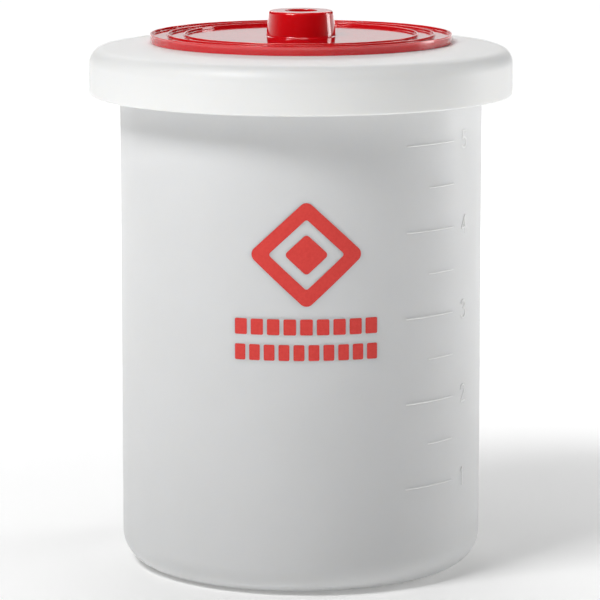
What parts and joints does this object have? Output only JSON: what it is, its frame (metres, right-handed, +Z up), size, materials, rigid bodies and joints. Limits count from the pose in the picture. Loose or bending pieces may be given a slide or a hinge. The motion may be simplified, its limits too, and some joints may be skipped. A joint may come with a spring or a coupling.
{
  "type": "laboratory waste bin",
  "caption": "Round translucent plastic waste bin with raised volume marks, a loose flanged collar over its rim and a red lift-off lid with concentric ridges and a hollow knob.",
  "frame": {"origin": "centre of the base, on the surface the bin stands on", "axes": "+Z up along the bin's axis; -Y is the front, the side with the printed mark; +X is to the right of someone facing the front"},
  "size_m": [0.327, 0.327, 0.4307],
  "materials": {
    "translucent_body": "satin translucent natural polyethylene",
    "translucent_collar": "semi-gloss translucent natural plastic",
    "red_lid": "gloss moulded red plastic",
    "print_ink": "screen-printed ink"
  },
  "bodies": {
    "bin": {"container": "translucent_body"},
    "collar": {"collar": "translucent_collar"},
    "lid": {"lid": "red_lid"}
  },
  "joints": [
    {"name": "collar_lift", "type": "slide", "parent": "bin", "child": "collar", "axis": [0, 0, 1], "range_m": [0, 0.08]},
    {"name": "lid_lift", "type": "slide", "parent": "collar", "child": "lid", "axis": [0, 0, 1], "range_m": [0, 0.08]}
  ]
}
